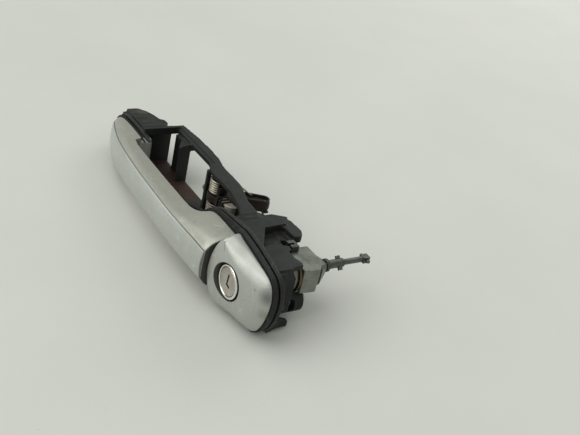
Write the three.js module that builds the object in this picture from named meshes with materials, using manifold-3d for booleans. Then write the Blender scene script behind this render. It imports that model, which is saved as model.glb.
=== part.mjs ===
// Outside door handle with key lock, left front door.
// +X runs along the handle to its lock end, +Y runs into the door, +Z is up.
// The origin lies on the raised seat of the frame that rests on the inside of the door skin.

import * as THREE from 'three';
import { mergeVertices } from 'three/addons/utils/BufferGeometryUtils.js';
import Module from 'manifold-3d';

const wasm = await Module();
wasm.setup();

// ---------------------------------------------------------------- driving dimensions, mm

const LOCK_X = 18;
const RING_FACE_Y = -15.3;
const COVER_RIM_Y = -4.8;
const SKIN_Y = -1.05;
const FLANGE_Y = 0.3;
const FLANGE_BACK_Y = 3;
const SEAT_Y = 0;
const RAIL_Z = 17;
const PLATE_Z = 13.8;
const FLOOR_Z = -16.6;
const HINGE_X = -188.5;
const HINGE_Y = 9;
const CRANK_X = -80.5;
const CRANK_Y = 29;
const ARM_X = -30;
const ARM_Y = 31.5;
const STOP_X = -5;
const STOP_Z = -12;
const SHUTTER_X = 15.7;
const SHUTTER_Y = -11.8;
const SMALLEST_EDGE = 0.03;

// ---------------------------------------------------------------- materials

function material(color, roughness, metalness) {
  return new THREE.MeshStandardMaterial({ color, roughness, metalness });
}

const SILVER = material(0xb4bcbe, 0.32, 0.35);
const SILVER_WARM = material(0xbfbdb6, 0.36, 0.3);
const NYLON = material(0x2b2d2e, 0.62, 0.0);
const NYLON_BROWN = material(0x33261f, 0.6, 0.0);
const RUBBER = material(0x1d1e1f, 0.85, 0.0);
const ZINC = material(0x9aa09a, 0.45, 0.8);
const ZINC_PALE = material(0xc9c7bb, 0.45, 0.7);
const STEEL = material(0x8d8f8c, 0.38, 0.9);
const BRIGHT = material(0xd8d6d0, 0.14, 1.0);
const SATIN = material(0xc9bdb0, 0.3, 0.95);
const SPRING_STEEL = material(0xc7bda4, 0.35, 0.9);
const BRASS = material(0xa8773c, 0.35, 0.95);

// ---------------------------------------------------------------- shape helpers

function manifoldOf(geometry) {
  const g = geometry.clone();
  g.deleteAttribute('normal');
  g.deleteAttribute('uv');
  const m = mergeVertices(g, 1e-4);
  return fromArrays(Array.from(m.attributes.position.array), Array.from(m.index.array));
}

function fromArrays(vertices, triangles) {
  let volume = 0;
  const p = (i, k) => vertices[3 * i + k];
  for (let t = 0; t < triangles.length; t += 3) {
    const [a, b, c] = [triangles[t], triangles[t + 1], triangles[t + 2]];
    volume += p(a, 0) * (p(b, 1) * p(c, 2) - p(b, 2) * p(c, 1));
    volume += p(a, 1) * (p(b, 2) * p(c, 0) - p(b, 0) * p(c, 2));
    volume += p(a, 2) * (p(b, 0) * p(c, 1) - p(b, 1) * p(c, 0));
  }
  if (volume < 0) {
    for (let t = 0; t < triangles.length; t += 3) {
      [triangles[t + 1], triangles[t + 2]] = [triangles[t + 2], triangles[t + 1]];
    }
  }
  return new wasm.Manifold(new wasm.Mesh({
    numProp: 3,
    vertProperties: Float32Array.from(vertices),
    triVerts: Uint32Array.from(triangles),
  }));
}

// Rings of equal length joined into a closed body, with a fan over each end.
function loft(rings) {
  const n = rings[0].length;
  const vertices = [];
  const triangles = [];
  for (const ring of rings) {
    for (const q of ring) vertices.push(...q);
  }
  for (let r = 0; r + 1 < rings.length; r += 1) {
    for (let i = 0; i < n; i += 1) {
      const j = (i + 1) % n;
      const [a, b] = [r * n + i, r * n + j];
      triangles.push(a, b, b + n, a, b + n, a + n);
    }
  }
  for (const [r, flip] of [[0, true], [rings.length - 1, false]]) {
    const centre = [0, 1, 2].map((k) => rings[r].reduce((s, q) => s + q[k], 0) / n);
    const c = vertices.length / 3;
    vertices.push(...centre);
    for (let i = 0; i < n; i += 1) {
      const j = (i + 1) % n;
      if (flip) triangles.push(c, r * n + j, r * n + i);
      else triangles.push(c, r * n + i, r * n + j);
    }
  }
  return fromArrays(vertices, triangles);
}

function shapeOf(points) {
  return new THREE.Shape(points.map(([a, b]) => new THREE.Vector2(a, b)));
}

// Points are [x, y]; the prism runs along Z.
function prismZ(points, z0, z1) {
  const g = new THREE.ExtrudeGeometry(shapeOf(points), { depth: z1 - z0, bevelEnabled: false });
  g.translate(0, 0, z0);
  return manifoldOf(g);
}

// Points are [x, z]; the prism runs along Y.
function prismY(points, y0, y1) {
  const g = new THREE.ExtrudeGeometry(shapeOf(points), { depth: y1 - y0, bevelEnabled: false });
  g.rotateX(Math.PI / 2);
  g.translate(0, y1, 0);
  return manifoldOf(g);
}

// Points are [y, z]; the prism runs along X.
function prismX(points, x0, x1) {
  const g = new THREE.ExtrudeGeometry(shapeOf(points), { depth: x1 - x0, bevelEnabled: false });
  g.applyMatrix4(new THREE.Matrix4().set(0, 0, 1, 0, 1, 0, 0, 0, 0, 1, 0, 0, 0, 0, 0, 1));
  g.translate(x0, 0, 0);
  return manifoldOf(g);
}

function box(x0, x1, y0, y1, z0, z1) {
  return prismZ([[x0, y0], [x1, y0], [x1, y1], [x0, y1]], z0, z1);
}

function circle(a, b, r, n = 24, start = 0) {
  const out = [];
  for (let i = 0; i < n; i += 1) {
    const t = start + (2 * Math.PI * i) / n;
    out.push([a + r * Math.cos(t), b + r * Math.sin(t)]);
  }
  return out;
}

function cylY(x, z, r, y0, y1, n = 24) {
  return prismY(circle(x, z, r, n), y0, y1);
}

function cylZ(x, y, r, z0, z1, n = 24) {
  return prismZ(circle(x, y, r, n), z0, z1);
}

function cylX(y, z, r, x0, x1, n = 20) {
  return prismX(circle(y, z, r, n), x0, x1);
}

// A profile of [radius, y] turned about the line through (x, z) along Y.
function turnedY(profile, x, z, n = 32) {
  const g = new THREE.LatheGeometry(profile.map(([r, y]) => new THREE.Vector2(r, y)), n);
  g.translate(x, 0, z);
  return manifoldOf(g);
}

// Corners of a polygon rounded with n chords; one radius for all, or one for each corner.
function fillet(points, radii, n = 4) {
  const out = [];
  const count = points.length;
  for (let i = 0; i < count; i += 1) {
    const r = Array.isArray(radii) ? radii[i] : radii;
    const p = new THREE.Vector2(...points[i]);
    if (!r) {
      out.push([p.x, p.y]);
      continue;
    }
    const a = new THREE.Vector2(...points[(i + count - 1) % count]).sub(p);
    const b = new THREE.Vector2(...points[(i + 1) % count]).sub(p);
    const cut = Math.min(r, 0.45 * a.length(), 0.45 * b.length());
    const from = a.normalize().multiplyScalar(cut).add(p);
    const to = b.normalize().multiplyScalar(cut).add(p);
    for (let k = 0; k <= n; k += 1) {
      const t = k / n;
      out.push([
        (1 - t) ** 2 * from.x + 2 * t * (1 - t) * p.x + t * t * to.x,
        (1 - t) ** 2 * from.y + 2 * t * (1 - t) * p.y + t * t * to.y,
      ]);
    }
  }
  return out;
}

function grow(points, d) {
  const n = points.length;
  const area = points.reduce((s, [x, y], i) => {
    const [u, v] = points[(i + 1) % n];
    return s + x * v - u * y;
  }, 0);
  const sign = area > 0 ? 1 : -1;
  return points.map((p, i) => {
    const a = points[(i + n - 1) % n];
    const b = points[(i + 1) % n];
    const t = new THREE.Vector2(b[0] - a[0], b[1] - a[1]).normalize();
    return [p[0] + sign * d * t.y, p[1] - sign * d * t.x];
  });
}

// Round wire swept along a smooth line through the points.
function wire(points, r, steps, sides = 8) {
  const path = new THREE.CatmullRomCurve3(points.map((p) => new THREE.Vector3(...p)), false, 'centripetal');
  const g = new THREE.ExtrudeGeometry(shapeOf(circle(0, 0, r, sides)), {
    steps, bevelEnabled: false, extrudePath: path, curveSegments: 1,
  });
  return manifoldOf(g);
}

function join(list) {
  return list.reduce((a, b) => a.add(b));
}

function cut(body, list) {
  return list.reduce((a, b) => a.subtract(b), body);
}

// ---------------------------------------------------------------- grip

// x, shoulder y, shoulder height, base height, seam y, seam height, outermost y
const GRIP = [
  [-187.6, -2.8, 5.2, 5.0, -3.6, 4.4, -4.2],
  [-186.6, -3.4, 8.0, 8.2, -5.0, 6.6, -6.2],
  [-184.5, -4.4, 10.2, 10.6, -6.8, 8.2, -8.4],
  [-181, -5.6, 11.8, 12.2, -8.6, 9.2, -10.6],
  [-175, -7.4, 12.8, 13.2, -11.2, 9.8, -13.4],
  [-165, -10.0, 13.2, 13.6, -14.4, 10.1, -17.2],
  [-152, -12.6, 13.0, 13.4, -17.6, 10.2, -20.8],
  [-139, -14.6, 12.6, 12.8, -19.6, 10.2, -23.2],
  [-122, -16.2, 12.1, 12.0, -21.0, 10.1, -24.9],
  [-103, -17.0, 11.7, 11.4, -22.1, 10.0, -26.2],
  [-83, -17.6, 11.5, 11.2, -22.8, 10.0, -26.9],
  [-64, -18.0, 11.5, 11.2, -23.3, 10.0, -27.1],
  [-51, -18.0, 11.8, 11.8, -23.5, 10.0, -26.9],
  [-43, -17.8, 12.6, 13.6, -23.5, 10.1, -26.5],
  [-36, -17.4, 13.6, 16.6, -23.4, 10.2, -26.0],
  [-28.5, -17.0, 14.8, 19.6, -23.2, 10.3, -25.4],
  [-20, -16.8, 15.8, 20.4, -22.9, 10.4, -24.8],
  [-10, -16.6, 16.2, 20.4, -22.5, 10.4, -24.2],
  [2, -16.4, 16.2, 20.2, -22.1, 10.3, -23.6],
];
const GRIP_BASE_Y = -2.5;
const SEAM_GAP = 0.12;

function gripRing(x, [ys, zs, zb, yp, zp, yo]) {
  const half = [
    [GRIP_BASE_Y, zb - 0.7],
    [GRIP_BASE_Y - 0.5, zb],
    [(GRIP_BASE_Y + ys) / 2, 0.5 * (zb + zs) + 0.35],
    [ys, zs],
    [ys + 0.55 * (yp - ys), zs + 0.38 * (zp - zs)],
    [yp, zp],
  ];
  for (const a of [18, 38, 62]) {
    const t = (a * Math.PI) / 180;
    half.push([yp + (yo - yp) * Math.sin(t), zp * Math.cos(t)]);
  }
  const lower = half.map(([y, z]) => [y, -z]).reverse();
  return [...half, [yo, 0], ...lower].map(([y, z]) => [x, y, z]);
}

const gripFull = loft(GRIP.map((row) => gripRing(row[0], row.slice(1))));

// The rear end of the grip is hollow towards the cover.
const gripEnd = prismY([
  [-0.6, 24], [-0.9, 19], [-1.7, 12], [-2.4, 5], [-2.7, 0], [-2.6, -6],
  [-2.0, -13], [-1.2, -19], [-0.8, -24], [20, -24], [20, 24],
], -40, 10);

const fingerGap = prismZ([
  [-143.5, -8.4], [-90, -8.3], [-51, -8.4], [-46, -7.9], [-42, -6.9], [-38.5, -5.6],
  [-35, -3.6], [-33.5, 6], [-148.2, 12], [-148.2, 8],
], -40, 40);

const seamLine = GRIP.map((row) => [row[0], row[4]]);
seamLine[0][0] = -200;
seamLine[seamLine.length - 1][0] = 10;
const outerSide = prismZ([
  ...seamLine.map(([x, y]) => [x, y - SEAM_GAP]),
  [10, -50], [-200, -50],
], -40, 40);
const innerSide = prismZ([
  ...seamLine.map(([x, y]) => [x, y + SEAM_GAP]),
  [10, 40], [-200, 40],
], -40, 40);

const hookRoot = loft([
  [[-168, -3, 11.2], [-152, -3, 11.2], [-147, -3, 8], [-147, -3, -8], [-152, -3, -11.2], [-168, -3, -11.2]],
  [[-168, 2, 10.8], [-152, 2, 10.8], [-148, 2, 8], [-148, 2, -8], [-152, 2, -10.8], [-168, 2, -10.8]],
  [[-168, 8, 9.4], [-151, 8, 9.4], [-148, 8, 7.2], [-148, 8, -7.2], [-151, 8, -9.4], [-168, 8, -9.4]],
]);

const hookBar = join([
  prismZ(fillet([[-187, 6.8], [-158, 6.8], [-158, 9.8], [-187, 9.8]], 0.8, 2), -8, 8),
  box(-167.4, -152, 8.3, 9.8, -8, 8),
  cylZ(HINGE_X, HINGE_Y, 2.4, -8, 8, 20),
  prismZ([[-188.5, 6.6], [-184, 6.8], [-184, 9.8], [-188.5, 11.4]], -8, 8),
]);
const hookPocket = box(-168.5, -157.8, 6.6, 10.0, -8.2, 8.2);

// The leg that pulls the bell crank.
const REAR_LEG = fillet([
  [-26.3, -2.0], [-20, -2.0], [-20, 38.6], [-40, 38.6], [-40, 36.9], [-35.4, 34.9], [-26.3, 34.9],
], [0, 0, 1.6, 1.0, 0.4, 0.8, 1.0], 3);
const legRoot = box(-34, -14, -7.4, -2.1, -8.6, 8.6);
const rearLeg = join([
  prismZ(REAR_LEG, -7, 7),
  box(-33.6, -14.4, -7.1, -2.4, -8.2, 8.2),
  prismZ([[-29.5, -2.6], [-16.8, -2.6], [-20, 9], [-26.3, 9]], -7, 7),
]);

const legScrew = join([
  cylY(-23.1, 0, 1.9, -16, -6.9, 16),
  cylY(-23.1, 0, 3.4, -7.0, -5.2, 18),
]);
const legScrewRoom = join([
  cylY(-23.1, 0, 2.0, -16.2, -6.8, 16),
  cylY(-23.1, 0, 3.6, -7.2, -2.0, 18),
]);

const gripOuter = gripFull.intersect(outerSide).subtract(gripEnd);
const gripInner = cut(
  gripFull.intersect(innerSide).subtract(gripEnd).subtract(fingerGap).add(hookRoot),
  [
    hookPocket,
    legRoot,
    legScrewRoom,
    box(-139, -52, -19.6, -11.2, -6.4, 6.4),
  ],
);

// ---------------------------------------------------------------- cover

const COVER_RIM = [
  [6.0, 25.8], [12, 24.8], [19, 23.7], [26, 22.4], [33, 21.1], [40, 19.7], [45.2, 18.0], [48.6, 15.4],
  [50.6, 11.6], [51.6, 6.5], [51.4, 1], [50.4, -4.5], [49.0, -9.5], [46.8, -15], [43.4, -20.2],
  [38.6, -23.6], [32, -25.0], [24, -25.6], [14, -25.9], [5.2, -25.9], [2.2, -22.4], [0.4, -18],
  [-0.7, -13], [-1.4, -7], [-1.6, -1], [-1.2, 6], [-0.3, 12.5], [1.0, 18], [3.0, 22.6],
];
const COVER_CENTRE = [22, 0];

function coverFace(x, z) {
  const along = Math.max(0, x);
  return -18.7 + 0.08 * along + 0.0023 * along * along + 0.0065 * z * z;
}

// Each rim point moves in along its own outward direction; the front edge is rounded far less.
function coverRing(inset, lift, shrink = 0) {
  const n = COVER_RIM.length;
  return COVER_RIM.map(([x, z], i) => {
    const [ax, az] = COVER_RIM[(i + n - 1) % n];
    const [bx, bz] = COVER_RIM[(i + 1) % n];
    const d = new THREE.Vector2(bx - ax, bz - az).normalize();
    const [nx, nz] = [-d.y, d.x];
    const round = 4.5 + 5 * THREE.MathUtils.smoothstep(x, 4, 26);
    const px = x - nx * (inset * (nx < -0.25 ? 0.9 : round) + shrink);
    const pz = z - nz * (inset * round + shrink);
    const top = coverFace(px, pz) + shrink;
    return [px, COVER_RIM_Y + (top - COVER_RIM_Y) * lift, pz];
  });
}

function coverBody(shrink, base) {
  const rings = [];
  const first = coverRing(0, 0, shrink).map(([x, , z]) => [x, base, z]);
  rings.push(first);
  for (const deg of [22, 42, 58, 72, 90]) {
    const t = (deg * Math.PI) / 180;
    rings.push(coverRing(1 - Math.cos(t), Math.sin(t), shrink));
  }
  for (const s of [0.62, 0.3]) {
    rings.push(coverRing(1, 1, shrink).map(([x, , z]) => {
      const px = COVER_CENTRE[0] + (x - COVER_CENTRE[0]) * s;
      const pz = COVER_CENTRE[1] + (z - COVER_CENTRE[1]) * s;
      return [px, coverFace(px, pz) + shrink, pz];
    }));
  }
  return loft(rings);
}

const lockRecess = turnedY([[0, 5], [12.2, 5], [12.2, -26], [0, -26]], LOCK_X, 0, 40);
const cover = cut(coverBody(0, COVER_RIM_Y), [
  coverBody(2.4, COVER_RIM_Y + 3),
  lockRecess,
]);

// ---------------------------------------------------------------- pads and frame

const REAR_OUTLINE = fillet([
  [-47, 0], [-45, 11], [-38, 18], [-27, 23.4], [-14, 25], [0, 26.4], [6, 27.4], [20, 25.6], [34, 22.8],
  [46, 19.6], [51.5, 14], [53.4, 5], [52.6, -3], [50.6, -11], [46.4, -19], [39.4, -25.2], [28, -27],
  [6, -27.6], [-10, -26], [-27, -23.4], [-38, -18], [-45, -11],
], 3, 2);

const FRONT_OUTLINE = fillet([
  [-193.6, 0], [-192.4, 8], [-188, 12.4], [-180, 14.4], [-166, 14.8], [-150, 14.4], [-139.5, 13.2],
  [-136.4, 9], [-136.4, -9], [-139.5, -13.2], [-150, -14.4], [-166, -14.8], [-180, -14.4], [-188, -12.4],
  [-192.4, -8],
], 2, 2);

// Windows in the pads over the frame's raised seats.
const frontWindow = box(-188.5, -174.5, -10, 5, -7.4, 7.4);
const rearWindow = box(-9.4, 2.2, -10, 5, -6.6, 7.4);

const frontOpening = box(-172, -130, -10, 5, -11.8, 11.8);
const legOpening = box(-44, -12, -10, 5, -9.6, 9.6);

const frontPad = cut(prismY(grow(FRONT_OUTLINE, -1.2), -2.2, SKIN_Y), [
  box(-172, -130, -10, 5, -11.6, 11.6),
  frontWindow,
]);
const rearPad = cut(join([
  prismY(grow(REAR_OUTLINE, -0.4), -2.2, SKIN_Y),
  prismY(REAR_OUTLINE, -4.5, -2.0).intersect(box(2.5, 80, -6, 0, -40, 40)),
]), [
  legOpening,
  rearWindow,
  prismY(grow(COVER_RIM, -4.2), -8, -1).intersect(box(4.5, 60, -8, 0, -40, 40)),
  cylY(LOCK_X, 0, 13.6, -8, 2, 32),
  cylY(STOP_X, STOP_Z, 3.3, -5, 2, 20),
]);

const stop = join([
  cylY(STOP_X, STOP_Z, 3.0, -2.2, 5.2, 20),
]);

// ---------------------------------------------------------------- frame

const RAIL_OUTER = [
  [-153.5, 35.2], [-131.3, 37.7], [-112.8, 38.2], [-99, 37.5], [-91, 35.8], [-85, 34.4],
];

const frameFront = [
  // flange behind the door skin, open towards the finger recess
  prismY(FRONT_OUTLINE, FLANGE_Y, FLANGE_BACK_Y),
  box(-187, -176, SEAT_Y, 1, -6, 6),
  // front block
  prismZ(fillet([
    [-192, 2], [-192, 14.2], [-186.6, 19], [-178.8, 22.3], [-172, 23.8], [-161.4, 23.8], [-161.4, 2],
  ], 1.2, 2), -12.2, 11.8),
  prismZ(fillet([
    [-192.6, 5.2], [-192.6, 14.6], [-187, 19.6], [-179, 23], [-172, 24.4], [-161, 24.4], [-161, 5.2],
  ], 1.2, 2), -13.6, 13.6),
  prismZ([[-173, 22], [-170, 27], [-166.5, 27], [-163, 22]], 9.8, 13.6),
  // front wall of the cage and the shelf over it
  box(-162.4, -160, 2, 29.5, FLOOR_Z - 1.6, 12.6),
  box(-162.4, -151.2, 2, 30.6, 11.2, 12.8),
  box(-153.6, -151, 2, 35.4, 11.2, RAIL_Z),
  // upper rail
  prismZ([...RAIL_OUTER.slice(0, 5), [-92.4, 31.2], [-99.6, 31.6], [-153.5, 31.6]], 11.2, RAIL_Z),
  prismZ([[-152.8, 33.4], [-99.2, 34.4], [-92.2, 33], [-92.2, 28], [-99.6, 29.8], [-152.8, 29.8]], 11.8, 15.2),
  // floor and strut
  prismZ([
    [-162.4, 2], [-162.4, 29.5], [-98, 29.5], [-88, 35], [-60, 35], [-46, 30], [-46, 20], [-76, 20], [-86, 23], [-97, 16.5],
    [-132, 15], [-140, 2],
  ], FLOOR_Z - 2, FLOOR_Z),
  box(-149.4, -127.2, 27.5, 29.5, FLOOR_Z - 1, 12),
  box(-129.4, -127.2, 20.6, 29.5, FLOOR_Z - 1, 12),
  prismX([[20.6, 10], [29.6, 10], [33.0, 12.6], [33.0, 14.4], [28, 13.4]], -129.4, -127.2),
  // spring chamber
  prismZ([
    [-91.6, 35.6], [-85, 34.4], [-62, 34.2], [-44, 29], [-26, 27.8], [-26, 14.6],
    [-34, 18.4], [-44, 21.2], [-56, 23.6], [-84.5, 23.4], [-89.6, 25.4], [-93.2, 28.4],
  ], PLATE_Z, RAIL_Z),
  prismX([[15.2, 13], [15.2, 16.6], [27.2, 16.6], [27.2, 13]], -27, -22),
  box(-90.4, -87.8, 23.4, 26.6, FLOOR_Z - 1, PLATE_Z + 1),
  box(-93.4, -90.4, 31.8, 35.2, FLOOR_Z - 1, PLATE_Z + 1),
  cylZ(CRANK_X, CRANK_Y, 5.6, FLOOR_Z - 3.4, FLOOR_Z, 24),
];

const frameRear = [
  prismY(REAR_OUTLINE, FLANGE_Y, FLANGE_BACK_Y),
  box(-8, 1.2, SEAT_Y, 1, -5.4, 6),
  // body around the rear leg
  prismZ(fillet([
    [-26, 2], [8, 2], [10.6, 11.6], [-11.6, 25.6], [-12.6, 34], [-23, 33.6], [-31, 27.6], [-27, 14],
  ], 1.5, 2), 13.2, 16),
  prismZ([[-46, 2], [7.6, 2], [10.2, 11.2], [-9, 22], [-24, 26], [-50, 31], [-50, 20]], -18.6, -15.4),
  prismZ([[-11, 2], [8, 2], [10.6, 11.6], [-11, 24.6]], -18.2, 15.6),
  box(-50, -46, 2, 22, -18.6, -9.8),
  // hump and its arm
  prismX([[13, 14], [15, 16], [32.5, 16], [36.4, 14], [37, 9], [29, 9]], -24, -12.6),
  prismZ(fillet([
    [-24, 33], [-20.6, 45], [-16, 48.2], [-3, 48.8], [3.0, 45.6], [3.0, 40.0], [-9.6, 39.4], [-14, 33],
  ], 1.6, 2), 9.6, 14.6),
  prismZ([[-15, 20], [4, 20], [4, 32.6], [-15, 33.6]], 6.2, 9.4),
  // lock barrel housing
  prismZ([[5, 2], [32, 2], [32, 20], [26, 27.4], [9, 32.4], [5, 24]], -14.6, 13),
  prismX([[2, -15], [2, 13], [20.3, 13], [25, 5], [25, -12], [20, -15]], 27, 32),
  prismZ([[26, 20], [31.4, 20.2], [30.2, 29.6], [27.6, 30.4], [22, 28.6]], 9.8, 13),
  // boss of the clamp screw, tabs and ribs
  cylY(25, -16.6, 8, 2, 35.4, 28),
  prismX([[2, -26.4], [2, -19], [12, -19], [22, -23], [22, -27.4], [9, -27.4]], 34.4, 37.6),
  prismX([[2, -23.4], [2, -15], [10, -15], [10, -20]], 40, 44.6),
  box(31, 34.4, 2, 16, 2, 11.4),
];

const frameCuts = [
  frontOpening,
  box(-191, -164, 3.4, 17, -8.6, 8.6),
  box(-172, -162.6, 3, 17, -11.4, 11.4),
  box(-165, -151, 3, 10.4, -15, 11),
  legOpening,
  box(-44, -12, 3, 30, -11.4, 11.4),
  box(-44, -12, 29, 42, -9, 9),
  cylY(LOCK_X, 0, 12.7, -5, 40, 40),
  cylY(LOCK_X, 0, 13.6, 28.9, 40, 40),
  cylZ(CRANK_X, CRANK_Y, 2.05, -30, 15.2, 20),
  // groove between the flange and the block
  prismZ([[-195, 3.4], [-151.4, 3.4], [-151.4, 5.2], [-195, 5.2]], 12.2, 16),
  // holes for the clamp screw and the front screw
  cylY(25, -16.6, 2.1, 20, 40, 16),
  cylY(-178, 0, 2.6, 16, 30, 16),
  // slot of the nut, seat of the stop button
  box(20.6, 36, 24.2, 28.4, -20.9, -12.3),
  cylY(STOP_X, STOP_Z, 3.3, -5, 6, 20),
];

const frame = cut(join([...frameFront, ...frameRear]), frameCuts);

// ---------------------------------------------------------------- bell crank

const CRANK_Z0 = -4.6;
const CRANK_Z1 = 0.2;
const LEVER_X = -64;
const LEVER_Y = 58;

function bar(x0, y0, w0, x1, y1, w1, z0, z1) {
  const d = new THREE.Vector2(x1 - x0, y1 - y0).normalize();
  return prismZ([
    [x0 - d.y * w0, y0 + d.x * w0], [x0 + d.y * w0, y0 - d.x * w0],
    [x1 + d.y * w1, y1 - d.x * w1], [x1 - d.y * w1, y1 + d.x * w1],
  ], z0, z1);
}

const crank = cut(join([
  cylZ(CRANK_X, CRANK_Y, 4.3, FLOOR_Z + 0.3, PLATE_Z - 0.3, 24),
  cylZ(CRANK_X, CRANK_Y, 7.2, CRANK_Z0, CRANK_Z1, 28),
  bar(CRANK_X, CRANK_Y, 5.4, ARM_X, ARM_Y, 2.6, CRANK_Z0, CRANK_Z1),
  bar(CRANK_X + 10, CRANK_Y, 1.4, -34, ARM_Y, 1.2, -9.2, 6.6),
  cylZ(ARM_X, ARM_Y, 3, -6.6, 4, 20),
  bar(CRANK_X, CRANK_Y, 5.6, LEVER_X, LEVER_Y, 4.5, CRANK_Z0, CRANK_Z1),
  cylZ(LEVER_X + 0.4, LEVER_Y + 0.4, 4.3, CRANK_Z0, CRANK_Z1, 20),
]), [
  cylZ(CRANK_X, CRANK_Y, 2.08, -30, 30, 20),
  cylZ(LEVER_X + 0.6, LEVER_Y + 0.8, 1.3, -30, 30, 14),
]);

const pin = join([
  cylZ(CRANK_X, CRANK_Y, 2.0, FLOOR_Z - 3.6, 15, 20),
  cylZ(CRANK_X, CRANK_Y, 3.4, FLOOR_Z - 5.0, FLOOR_Z - 3.5, 20),
]);

const weight = cut(prismZ(fillet([
  [-66, 28.6], [-51, 28.8], [-52, 24.6], [-56.4, 21.8], [-61.6, 21.8], [-65.4, 24.6],
], 1.4, 3), -9.4, 5.4), [
  bar(CRANK_X, CRANK_Y, 5.6, ARM_X, ARM_Y, 2.8, CRANK_Z0 - 0.2, CRANK_Z1 + 0.2),
  bar(CRANK_X + 10, CRANK_Y, 1.6, -34, ARM_Y, 1.4, -9.8, 6.8),
]);

const COIL_R = 5.75;
const COIL_STEPS = 12;

function coil(z0, z1, turns, start) {
  const out = [];
  const count = Math.round(turns * COIL_STEPS);
  for (let i = 0; i <= count; i += 1) {
    const t = start + (2 * Math.PI * i) / COIL_STEPS;
    out.push([CRANK_X + COIL_R * Math.cos(t), CRANK_Y + COIL_R * Math.sin(t), z0 + ((z1 - z0) * i) / count]);
  }
  return out;
}

const springPath = [
  [-71.2, 52.4, 1.0], [-70.6, 49.4, 3.0], [-70.2, 44.8, 7.0], [-70.6, 40.6, 10.2], [-73.6, 36.6, 11.8],
  ...coil(12.0, 1.5, 6.25, Math.PI / 2),
  [-88.6, 28.9, 1.5], [-90.6, 28.9, 0.6], [-92.3, 28.8, -0.9], [-92.7, 28.8, -2.4], [-92.3, 28.8, -3.9],
  [-90.6, 28.9, -5.6], [-88.6, 28.9, -6.5],
  ...coil(-6.5, -15.2, 4.75, Math.PI),
  [-74.0, 36.2, -15.2], [-70.4, 41, -13.0], [-69.6, 47.2, -9.4], [-70.6, 52.2, -6.2],
];
const spring = wire(springPath, 0.65, Math.round(springPath.length * 1.1), 6);

const link = wire([
  [LEVER_X + 0.6, LEVER_Y + 0.8, 0.0], [LEVER_X + 0.6, LEVER_Y + 0.8, -3.4], [LEVER_X + 0.6, LEVER_Y + 0.8, -7.8],
  [LEVER_X + 2.0, LEVER_Y + 0.6, -9.6], [LEVER_X + 4.0, LEVER_Y - 0.4, -12.0], [LEVER_X + 5.6, LEVER_Y - 2.4, -13.6],
], 1.0, 18, 8);

const rodClip = cut(join([
  cylZ(LEVER_X + 0.6, LEVER_Y + 0.8, 2.7, -7.6, -5.5, 20),
  box(LEVER_X + 0.6, LEVER_X + 5.6, LEVER_Y - 0.6, LEVER_Y + 2.2, -6.9, -5.5),
]), [cylZ(LEVER_X + 0.6, LEVER_Y + 0.8, 1.25, -20, 0, 16)]);

// ---------------------------------------------------------------- key lock

const ring = turnedY([
  [9.3, -14.0], [9.3, -14.7], [9.7, RING_FACE_Y], [10.6, RING_FACE_Y - 0.1], [11.1, -14.9], [11.1, -12.4], [10.4, -12.4], [10.4, -14.0], [9.3, -14.0],
], LOCK_X, 0, 40);

const face = cut(turnedY([[0, -12.8], [8.6, -12.8], [8.6, -13.8], [9.1, -14.2], [9.1, -14.9], [8.8, -15.1], [0, -15.1]], LOCK_X, 0, 36), [
  prismY([[17.7, 5.3], [18.7, 5.2], [17.9, -1.7], [20.8, -2.3], [20.6, -3.2], [16.9, -2.6]], -20, 0),
]);

const sleeve = cut(turnedY([
  [0, 27.6], [12.4, 27.6], [12.4, -4.0], [10.2, -5.2], [10.2, -13.6], [0, -13.6],
], LOCK_X, 0, 40), [
  cylY(LOCK_X, 0, 8.1, -20, 24, 32),
  cylY(LOCK_X, 0, 8.9, -20, -12.4, 32),
  cylY(LOCK_X, 0, 4.1, 20, 30, 24),
]);

const plug = cut(join([
  cylY(LOCK_X, 0, 8.0, -12.5, 23.7, 32),
  cylY(LOCK_X, 0, 4.0, 23, 56.6, 24),
]), [
  box(17.3, 18.7, -20, 18, -5.2, 4.8),
  box(14.9, 21.1, -13, -6.4, -5.9, 5.9),
]);

// Flap behind the key slot, on a thin rod along its edge.
const shutter = join([
  box(15.7, 20.5, -12.2, -11.4, -4.9, 5.2),
  cylZ(SHUTTER_X, SHUTTER_Y, 0.5, -5.5, 5.6, 12),
]);

const plugSpring = wire(
  Array.from({ length: 49 }, (_, i) => {
    const t = (2 * Math.PI * i) / 12;
    return [LOCK_X + 5.7 * Math.cos(t), 35.2 + i * 0.166, 5.7 * Math.sin(t)];
  }), 0.5, 48, 6,
);

const snapRing = cut(cylY(LOCK_X, 0, 13.2, 29.2, 30.6, 36), [
  cylY(LOCK_X, 0, 11.5, 20, 40, 36),
  box(-10, 24, 20, 40, 1, 20),
]);

const housing = cut(join([
  prismZ(fillet([[6.6, 33], [31, 31.2], [32, 42.6], [27.6, 46.4], [22, 49], [5.8, 49]], 1, 2), -8.6, 8.6),
  loft([
    [[9, 47, 8], [27, 47, 8], [29, 47, 5], [29, 47, -5], [27, 47, -8], [9, 47, -8], [7, 47, -5], [7, 47, 5]],
    [[15, 56, 3.4], [21, 56, 3.4], [22, 56, 2], [22, 56, -2], [21, 56, -3.4], [15, 56, -3.4], [14, 56, -2], [14, 56, 2]],
  ]),
  cylY(LOCK_X, 0, 11.2, 27.9, 34, 36),
  box(3.6, 11.4, 33, 38.6, 8, 13.6),
]), [
  cylY(LOCK_X, 0, 4.1, 20, 60, 24),
  cylY(LOCK_X, 0, 7.2, 34, 44, 28),
  box(6.8, 8.4, 30, 37, 9.6, 15),
]);

const collar = cut(turnedY([[0, 59.6], [3.6, 59.6], [4.4, 58.8], [4.4, 56.8], [0, 56.8]], LOCK_X, 0, 24), [
  cylY(LOCK_X, 0, 3.1, 50, 70, 20),
]);

const shaft = cut(join([
  cylY(LOCK_X, 0, 3.0, 56.7, 71.4, 20),
]), [
  cylY(LOCK_X, 0, 2.05, 66.2, 80, 16),
]);

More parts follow.
